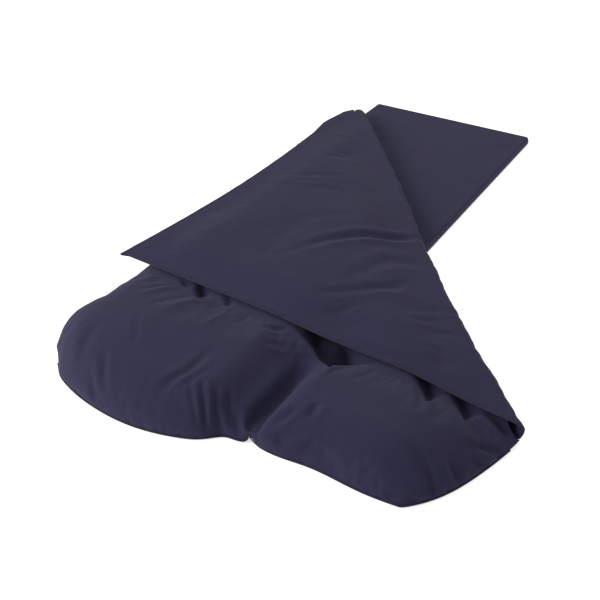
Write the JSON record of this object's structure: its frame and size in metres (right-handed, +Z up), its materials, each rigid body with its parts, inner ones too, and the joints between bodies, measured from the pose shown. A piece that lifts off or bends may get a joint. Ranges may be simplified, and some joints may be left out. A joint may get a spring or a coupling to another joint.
{
  "type": "topper sleeping bag",
  "caption": "Flat foam topper in a fitted fabric cover, with a padded duvet sewn along its left side and foot and one corner of the duvet folded back.",
  "frame": {"origin": "on the topper's underside, 340 mm from its left side and 1000 mm from its head end", "axes": "+Z up, +Y along the topper towards its head end, +X towards the side where the duvet opens"},
  "size_m": [1.2485, 2.0536, 0.116],
  "materials": {
    "cotton": "matt plain-woven cotton, navy",
    "binding": "matt woven tape and cord, navy",
    "foam": "open-cell memory foam, cream",
    "fibre": "hollow-fibre filling, white",
    "zip_coil": "nylon coil, navy",
    "zip_metal": "satin zinc alloy",
    "popper": "moulded plastic, off-white",
    "label": "blank woven satin, white"
  },
  "bodies": {
    "topper_and_duvet": {"topper_base_panel": "cotton", "foam_core": "foam", "topper_side_band": "cotton", "topper_top_panel": "cotton", "zip_tape_upper": "binding", "zip_tape_lower": "binding", "zip_coil_upper": "zip_coil", "zip_coil_lower": "zip_coil", "zip_stop_left": "zip_metal", "zip_stop_right": "zip_metal", "care_label": "label", "duvet_lower_panel": "cotton", "duvet_filling": "fibre", "duvet_upper_panel": "cotton", "duvet_edge_piping": "binding", "side_join_binding": "binding", "foot_gusset": "cotton"},
    "duvet_corner": {"corner_lower_panel": "cotton", "corner_filling": "fibre", "corner_upper_panel": "cotton", "corner_hem_lower": "cotton", "corner_hem_upper": "cotton", "corner_side_piping": "binding", "popper_socket_1": "popper", "popper_stud_1": "popper", "popper_socket_2": "popper", "popper_stud_2": "popper", "popper_socket_3": "popper", "popper_stud_3": "popper", "popper_socket_4": "popper", "popper_stud_4": "popper", "popper_socket_5": "popper", "popper_stud_5": "popper", "popper_socket_6": "popper", "popper_stud_6": "popper"},
    "zip_slider": {"zip_slider": "zip_metal"},
    "zip_pull": {"zip_pull": "zip_metal"}
  },
  "joints": [
    {"name": "corner_fold", "type": "hinge", "parent": "topper_and_duvet", "child": "duvet_corner", "pos_m": [0.25, 0.094, 0.059], "axis": [-0.6418, 0.7668, 0.0097], "range_deg": [0, 168]},
    {"name": "zip_slide", "type": "slide", "parent": "topper_and_duvet", "child": "zip_slider", "axis": [1, 0, 0], "range_m": [-0.54, 0]},
    {"name": "zip_pull_swing", "type": "hinge", "parent": "zip_slider", "child": "zip_pull", "pos_m": [0.253, 1.00615, 0.015], "axis": [0, 0, -1], "range_deg": [0, 170]}
  ]
}
